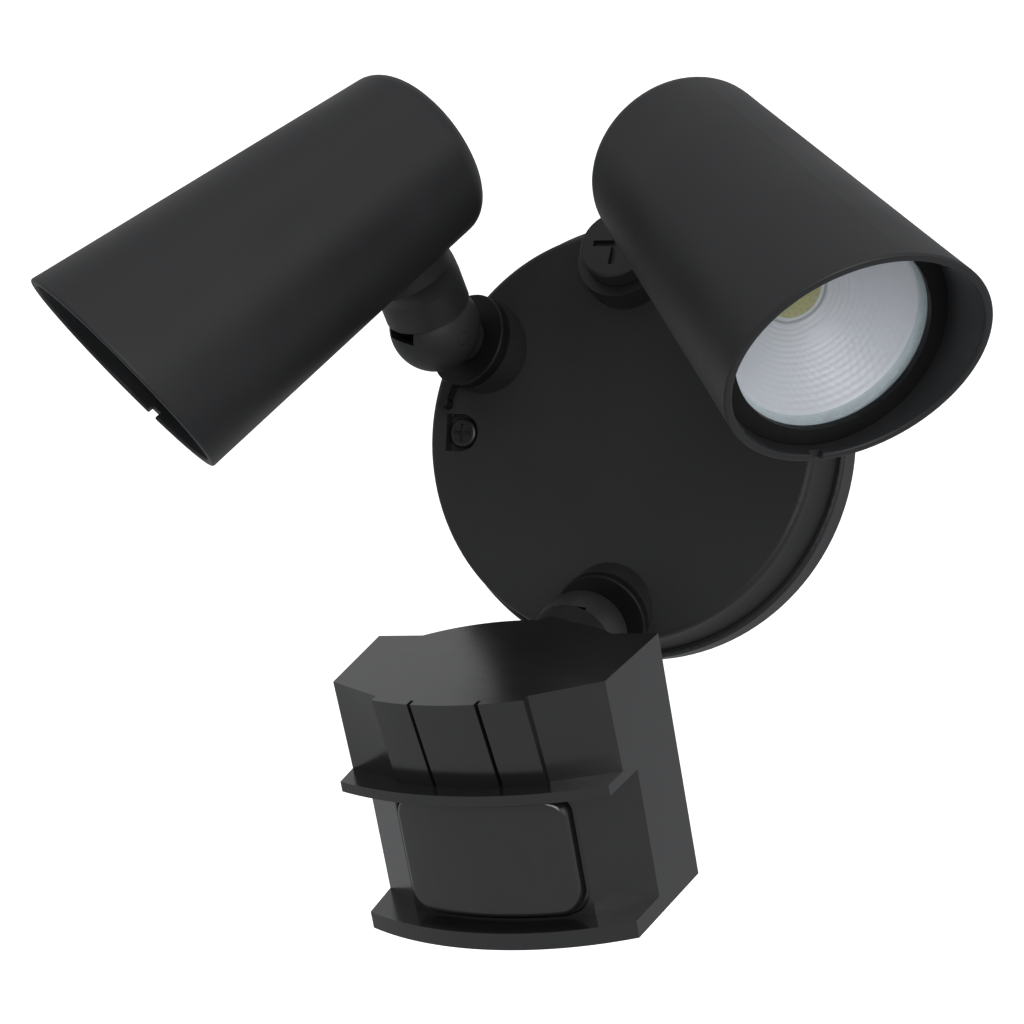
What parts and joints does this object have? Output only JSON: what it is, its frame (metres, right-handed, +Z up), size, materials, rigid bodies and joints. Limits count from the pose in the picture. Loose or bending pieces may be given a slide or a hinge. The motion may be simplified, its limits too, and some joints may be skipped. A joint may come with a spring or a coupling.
{
  "type": "led flood light",
  "caption": "Security flood light: hooded tapered LED heads and a motion sensor on swivel-and-tilt knuckles, on a round canopy that screws to a wall box.",
  "frame": {"origin": "centre of the canopy's back face, on the wall, midway between the two mounting screws", "axes": "+Z up the wall, +X to the right seen from the front, +Y into the wall; the light stands out towards -Y"},
  "size_m": [0.2323, 0.162, 0.211],
  "materials": {
    "charcoal_coat": "matte charcoal powder coat on die-cast aluminium",
    "knuckle_coat": "satin dark grey coat on die-cast aluminium",
    "black_moulding": "fine-grained black moulding",
    "sensor_moulding": "satin charcoal moulding",
    "sensor_window": "glossy smoked window",
    "seal_rubber": "black sponge rubber",
    "black_screw": "black oxide steel",
    "bright_steel": "zinc plated steel",
    "sink_metal": "bare aluminium",
    "white_board": "white solder mask",
    "green_board": "green circuit board",
    "chip_ceramic": "white ceramic",
    "phosphor": "yellow phosphor",
    "reflector_silver": "vacuum metallised",
    "lens_glass": "clear tempered glass",
    "driver_case": "white potted case",
    "terminal_plastic": "natural nylon",
    "dial_plastic": "dark grey moulding"
  },
  "bodies": {
    "canopy": {"canopy_cover": "charcoal_coat", "wall_gasket": "seal_rubber", "mounting_screws": "black_screw", "closure_plug": "charcoal_coat", "closure_gasket": "seal_rubber", "led_driver": "driver_case", "driver_screws": "bright_steel", "terminal_block": "terminal_plastic", "left_hub_seal": "seal_rubber", "right_hub_seal": "seal_rubber", "sensor_hub_seal": "seal_rubber"},
    "left_stem": {"left_lock_ring": "black_moulding", "left_ball_stem": "charcoal_coat", "left_stem_nut": "bright_steel"},
    "left_head": {"left_knuckle_cap": "knuckle_coat", "left_pivot_pin": "black_screw", "left_lamp_housing": "charcoal_coat", "left_heat_sink": "sink_metal", "left_led_board": "white_board", "left_board_screws": "bright_steel", "left_led_chip": "chip_ceramic", "left_led_phosphor": "phosphor", "left_reflector": "reflector_silver", "left_lens_gasket": "seal_rubber", "left_lens": "lens_glass", "left_lens_bezel": "black_moulding"},
    "right_stem": {"right_lock_ring": "black_moulding", "right_ball_stem": "charcoal_coat", "right_stem_nut": "bright_steel"},
    "right_head": {"right_knuckle_cap": "knuckle_coat", "right_pivot_pin": "black_screw", "right_lamp_housing": "charcoal_coat", "right_heat_sink": "sink_metal", "right_led_board": "white_board", "right_board_screws": "bright_steel", "right_led_chip": "chip_ceramic", "right_led_phosphor": "phosphor", "right_reflector": "reflector_silver", "right_lens_gasket": "seal_rubber", "right_lens": "lens_glass", "right_lens_bezel": "black_moulding"},
    "sensor_stem": {"sensor_lock_ring": "black_moulding", "sensor_ball_stem": "charcoal_coat", "sensor_stem_nut": "bright_steel"},
    "sensor_head": {"sensor_knuckle_cap": "knuckle_coat", "sensor_pivot_pin": "black_screw", "sensor_housing": "sensor_moulding", "sensor_lens": "sensor_window", "sensor_rear_cover": "sensor_moulding", "sensor_cover_seal": "seal_rubber", "sensor_cover_screws": "black_screw", "sensor_board": "green_board", "pyro_element": "bright_steel", "trimmer_pots": "terminal_plastic"},
    "time_dial": {"time_dial": "dial_plastic"},
    "range_dial": {"range_dial": "dial_plastic"}
  },
  "joints": [
    {"name": "right_swivel", "type": "hinge", "parent": "canopy", "child": "right_stem", "pos_m": [0.03949, -0.0212, 0.0228], "axis": [-0.3075, 0.9348, -0.1776], "range_deg": [-90, 90]},
    {"name": "right_tilt", "type": "hinge", "parent": "right_stem", "child": "right_head", "pos_m": [0.04518, -0.03849, 0.02609], "axis": [-0.7508, -0.353, -0.5582], "range_deg": [-50, 18]},
    {"name": "left_swivel", "type": "hinge", "parent": "canopy", "child": "left_stem", "pos_m": [-0.03949, -0.0212, 0.0228], "axis": [-0.3075, -0.9348, 0.1776], "range_deg": [-90, 90]},
    {"name": "left_tilt", "type": "hinge", "parent": "left_stem", "child": "left_head", "pos_m": [-0.04518, -0.03849, 0.02609], "axis": [-0.8889, 0.3488, 0.2969], "range_deg": [-50, 18]},
    {"name": "sensor_swivel", "type": "hinge", "parent": "canopy", "child": "sensor_stem", "pos_m": [0, -0.0212, -0.0456], "axis": [0, -0.9348, -0.3551], "range_deg": [-60, 60]},
    {"name": "sensor_tilt", "type": "hinge", "parent": "sensor_stem", "child": "sensor_head", "pos_m": [0, -0.03849, -0.05217], "axis": [0.9999, -0.0037, 0.0098], "range_deg": [-40, 40]},
    {"name": "time_dial_turn", "type": "hinge", "parent": "sensor_head", "child": "time_dial", "pos_m": [-0.0062, -0.06293, -0.11486], "axis": [0.0584, 0.3981, -0.9155], "range_deg": [-135, 135]},
    {"name": "range_dial_turn", "type": "hinge", "parent": "sensor_head", "child": "range_dial", "pos_m": [0.01177, -0.06334, -0.11389], "axis": [0.0584, 0.3981, -0.9155], "range_deg": [-135, 135]}
  ]
}
